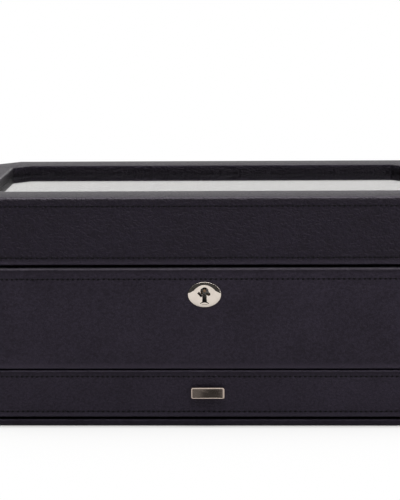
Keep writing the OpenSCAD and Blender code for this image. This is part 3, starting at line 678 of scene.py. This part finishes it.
def make_pull():
    """A bar on a foot: narrow bright frame round a face that leans back at the top."""
    loops = [pull_loop(FOOT_IN, 0.0, 0.5), pull_loop(FOOT_IN, FOOT_OUT, 0.5),
             pull_loop(0.0, FOOT_OUT, CORNER_R)]
    for a in (math.radians(15 * i) for i in range(7)):
        loops.append(pull_loop(EDGE_R * (1 - math.cos(a)), FRAME_OUT - EDGE_R * (1 - math.sin(a)), CORNER_R))
    for step, down, r, lean in ((0.0, 0.0, 0.5, 0.0), (0.05, 0.03, 0.45, 0.0), (0.15, 0.1, 0.35, FACE_LEAN)):
        loops.append(pull_loop(FRAME_W + step, FRAME_OUT - down, r, True, lean))
    n = len(loops[0])
    verts = [v for loop in loops for v in loop]
    back, face = tuple(reversed(range(n))), tuple((len(loops) - 1) * n + j for j in range(n))
    bar = add_solid("pull_bar", verts, [back, *bands(len(loops), n), face], PULL)
    bar.data.set_sharp_from_angle(angle=math.radians(19))
    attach(bar, "drawer")
    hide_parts("drawer_pull")


make_pull()


# ---------------------------------------------------------------- watch cushions

# Half sizes of a cushion's room, and the height of its middle over the tray floor, in millimetres
CUSHION_HALF = (23.5, 33.0, 21.5)
CUSHION_MIDDLE = 20.6
CUSHIONS = 5
AROUND = 56
CLOTH_FRAMES = 20

row_low, row_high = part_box("cushions_back")
TRAY_FLOOR = row_low.z
CUSHION_ROW = (row_low.y + row_high.y) / 2
CUSHION_PITCH = (row_high.x - row_low.x - 2 * CUSHION_HALF[0] * MM) / (CUSHIONS - 1)


def cushion_start(seed):
    """Cushion before it is filled: a wrap round the middle and a panel at each end, joined by a seam."""
    hx, hy, hz = CUSHION_HALF
    start, square, lumps = 0.95, 2.7, 0.016
    # Rings from the tip of a panel to its seam and on to the middle: place along x and girth, as shares
    end = [(1.0, 0.2), (0.99, 0.42), (0.965, 0.64), (0.93, 0.80), (0.885, 0.895), (0.835, 0.93)]
    wrap_end, girth, waist = 0.77, 0.985, 0.05
    wrap = [(x, girth - waist * (x / wrap_end) ** 3) for x in (wrap_end, 0.66, 0.53, 0.38, 0.2)]
    rings = [(-x, k) for x, k in end + wrap] + [(0.0, girth)] + [(x, k) for x, k in reversed(end + wrap)]
    verts = []
    for x, k in rings:
        for j in range(AROUND):
            a = 2 * math.pi * j / AROUND
            c, d = math.cos(a), math.sin(a)
            r = (abs(c) ** square + abs(d) ** square) ** (-1 / square)
            p = Vector((x * hx * start, c * r * hy * k * start, d * r * hz * k * start))
            p *= 1 + lumps * noise.noise(Vector((p.x * 0.07 + seed * 9.1, p.y * 0.07, p.z * 0.07)))
            verts.append(p * MM)
    faces = list(bands(len(rings), AROUND))
    for i, sign in ((0, -1), (len(rings) - 1, 1)):
        verts.append(Vector((sign * hx * start * MM, 0, 0)))
        tip = len(verts) - 1
        for j in range(AROUND):
            a, b = i * AROUND + j, i * AROUND + (j + 1) % AROUND
            faces.append((b, a, tip) if sign < 0 else (a, b, tip))
    seam = len(end) - 1
    return verts, faces, (seam, len(rings) - 1 - seam)


def blow_up(o, seam_points):
    """Places of the vertices once the cloth is under pressure and drawn in along its seams."""
    o.vertex_groups.new(name="seam").add(seam_points, 1.0, "REPLACE")
    cloth = o.modifiers.new("cloth", "CLOTH").settings
    cloth.quality = 6
    cloth.mass = 0.2
    cloth.effector_weights.gravity = 0
    cloth.use_pressure = True
    cloth.uniform_pressure_force = 4
    cloth.tension_stiffness = cloth.compression_stiffness = 12
    cloth.bending_stiffness = 0.3
    cloth.vertex_group_shrink = "seam"
    cloth.shrink_max = 0.16
    for f in range(1, CLOTH_FRAMES + 1):
        scene.frame_set(f)
    moved = [v.co.copy() for v in evaluated_mesh(o).vertices]
    scene.frame_set(1)
    return moved


def within(v, low, high):
    return max(low * MM, min(high * MM, v))


def filled_cushion(seed):
    """The cushion blown up as cloth: crowned panels, puckers along the drawn-in seams, flat underneath.

    The result stays inside the cushion's room, whose floor is at z = 0.
    """
    reach, seam_depth = 2.2 * MM, 0.7 * MM
    hx, hy = CUSHION_HALF[0] - 0.2, CUSHION_HALF[1] - 0.2
    bottom, top = 0.05, 42.6
    verts, faces, seams = cushion_start(seed)
    o = add_solid("cushion_work", verts, faces, CUSHION)
    seam_points = [i * AROUND + j for i in seams for j in range(AROUND)]
    moved = blow_up(o, seam_points)
    bpy.data.objects.remove(o, do_unlink=True)
    out = []
    for a, b in zip(verts, moved):
        step = b - a
        if step.length > reach:
            step *= reach / step.length
        p = a + step
        out.append(Vector((within(p.x, -hx, hx), within(p.y, -hy, hy), p.z + CUSHION_MIDDLE * MM)))
    for i in seam_points:
        out[i] += Vector((0, -out[i].y, CUSHION_MIDDLE * MM - out[i].z)).normalized() * seam_depth
    for p in out:
        p.z = within(p.z, bottom, top)
    return out, faces, seams


def add_cord(verts, faces, loop, middle):
    """A round cord sewn along a seam, half sunk in it."""
    sides, radius, proud = 8, 0.75 * MM, 0.35 * MM
    start = len(verts)
    for p in loop:
        out = Vector((0, p.y - middle.y, p.z - middle.z)).normalized()
        for q in range(sides):
            a = 2 * math.pi * q / sides
            c = p + out * (proud + radius * math.cos(a)) + Vector((radius * math.sin(a), 0, 0))
            c.z = max(TRAY_FLOOR + 0.05 * MM, c.z)
            verts.append(c)
    for j in range(len(loop)):
        for q in range(sides):
            a, b = start + j * sides, start + (j + 1) % len(loop) * sides
            faces.append((a + q, a + (q + 1) % sides, b + (q + 1) % sides, b + q))


def cushion_row(row, sign, shapes):
    """Five cushions as one piece and their piping as another.

    The shapes take turns, and some are turned round.
    """
    verts, faces, cord_verts, cord_faces = [], [], [], []
    for k in range(CUSHIONS):
        pts, quads, seams = shapes[(k + (sign > 0)) % len(shapes)]
        turn = -1 if k % 3 == 1 else 1
        at = Vector(((k - (CUSHIONS - 1) / 2) * CUSHION_PITCH, sign * CUSHION_ROW, TRAY_FLOOR))
        placed = [Vector((turn * p.x, turn * p.y, p.z)) + at for p in pts]
        faces += [tuple(len(verts) + i for i in q) for q in quads]
        verts += placed
        for s in seams:
            add_cord(cord_verts, cord_faces, placed[s * AROUND:(s + 1) * AROUND],
                     at + Vector((0, 0, CUSHION_MIDDLE * MM)))
    soft = add_solid("cushions_%s_soft" % row, verts, faces, CUSHION)
    smoothing = soft.modifiers.new("smooth", "SUBSURF")
    smoothing.levels = smoothing.render_levels = 1
    piping = add_solid("cushions_%s_piping" % row, cord_verts, cord_faces, PIPING)
    for o in (soft, piping):
        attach(o, "case")
    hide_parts("cushions_" + row)


cushion_shapes = [filled_cushion(seed) for seed in (1.0, 2.0)]
cushion_row("front", -1, cushion_shapes)
cushion_row("back", 1, cushion_shapes)


# ---------------------------------------------------------------- camera

# Fitted to the edges in the photo: place in metres, angles in degrees, focal length in pixels of its 500 rows
CAMERA = Vector((0.0246, -1.1007, 0.2934))
YAW, TILT, ROLL = (math.radians(v) for v in (-1.607, 10.016, -0.429))
FOCAL_PX, PHOTO_H = 1603.9, 500


def add_camera():
    ahead = Vector((math.sin(YAW) * math.cos(TILT), math.cos(YAW) * math.cos(TILT), -math.sin(TILT)))
    level = Vector((math.cos(YAW), -math.sin(YAW), 0))
    upright = level.cross(ahead)
    right = level * math.cos(ROLL) + upright * math.sin(ROLL)
    up = upright * math.cos(ROLL) - level * math.sin(ROLL)
    data = bpy.data.cameras.new("camera")
    data.sensor_width = 36
    data.lens = FOCAL_PX * data.sensor_width / PHOTO_H
    data.clip_start, data.clip_end = 0.05, 60
    camera = bpy.data.objects.new("camera", data)
    scene.collection.objects.link(camera)
    camera.matrix_world = Matrix.Translation(CAMERA) @ Matrix((right, up, -ahead)).transposed().to_4x4()
    scene.camera = camera


add_camera()


# ---------------------------------------------------------------- stage and light

def add_floor():
    """Pale floor that the camera sees as white, apart from a soft contact shade round the box."""
    m = Mat("studio_floor")
    m.set(Base_Color=rgb(0.58, 0.575, 0.57), Roughness=0.9, Specular_IOR_Level=0.1)
    shade, reach, contact = 0.34, 28 * MM, 6 * MM
    x, y, _ = m.split(m.coord)
    out_x = m.max(m.sub(m.math("ABSOLUTE", x), W / 2), 0.0)
    out_y = m.max(m.sub(m.math("ABSOLUTE", y), D / 2), 0.0)
    away = m.math("SQRT", m.add(m.mul(out_x, out_x), m.mul(out_y, out_y)))
    fade = m.mul(m.math("EXPONENT", m.mul(away, -1 / reach)), shade)
    clear = m.mul(m.sub(1.0, fade), m.ramp(away, 0.0, contact))
    camera_ray = m.put("ShaderNodeLightPath").outputs["Is Camera Ray"]
    white = m.put("ShaderNodeEmission", {"Color": rgb(1, 1, 1), "Strength": 1.0}).outputs[0]
    both = m.put("ShaderNodeMixShader", {0: m.mul(camera_ray, clear), 1: m.bsdf.outputs[0], 2: white})
    m.link(both.outputs[0], m.out.inputs["Surface"])
    corners = [(-12, -6, 0), (12, -6, 0), (12, 18, 0), (-12, 18, 0)]
    add_object("floor", corners, [(0, 1, 2, 3)], m.mat, False)


def add_world():
    """White for the camera. For the light: bright behind and above, dim in front with a fill at each side.

    The fills lie low, near the horizon, and show in the bowed faces of the metal.
    """
    world = bpy.data.worlds.new("studio")
    scene.world = world
    world.use_nodes = True
    world.node_tree.nodes.clear()
    w = Nodes(world.node_tree)
    dim, between_fills = 0.075, -0.022
    x, y, z = w.split(w.put("ShaderNodeTexCoord").outputs["Generated"])
    behind = w.soft_ramp(y, 0.0, 0.3)
    above = w.mul(w.soft_ramp(z, 0.42, 0.88, 0.0, 2.4), w.soft_ramp(y, -0.4, -0.1))
    left = w.mul(w.soft_ramp(x, -0.005, -0.075, 0.0, 0.17), w.soft_ramp(x, -0.35, -0.2))
    right = w.mul(w.soft_ramp(x, 0.045, 0.1, 0.0, 0.19), w.soft_ramp(x, 0.35, 0.2))
    fills = w.mul(w.add(w.add(left, right), between_fills), w.soft_ramp(z, 0.2, 0.12))
    level = w.max(w.max(behind, above), w.add(fills, dim))
    lit = w.put("ShaderNodeBackground", {"Color": (1.0, 0.985, 0.975, 1), "Strength": level}).outputs[0]
    seen = w.put("ShaderNodeBackground", {"Color": rgb(1, 1, 1), "Strength": 1.0}).outputs[0]
    camera_ray = w.put("ShaderNodeLightPath").outputs["Is Camera Ray"]
    pick = w.put("ShaderNodeMixShader", {0: camera_ray, 1: lit, 2: seen}).outputs[0]
    w.put("ShaderNodeOutputWorld", {"Surface": pick})


def add_softbox(name, place, look_at, size, power):
    data = bpy.data.lights.new(name, "AREA")
    data.shape = "RECTANGLE"
    data.size, data.size_y = size
    data.energy = power
    o = bpy.data.objects.new(name, data)
    scene.collection.objects.link(o)
    o.location = place
    o.rotation_mode = "QUATERNION"
    o.rotation_quaternion = (Vector(look_at) - Vector(place)).to_track_quat("-Z", "Y")


add_floor()
add_world()
add_softbox("overhead_softbox", (0.1, -0.75, 1.3), look_at=(0, -0.1, 0.1), size=(1.6, 1.0), power=20)
add_softbox("right_softbox", (1.3, -0.9, 0.8), look_at=(0, 0, 0.08), size=(0.7, 0.9), power=5)
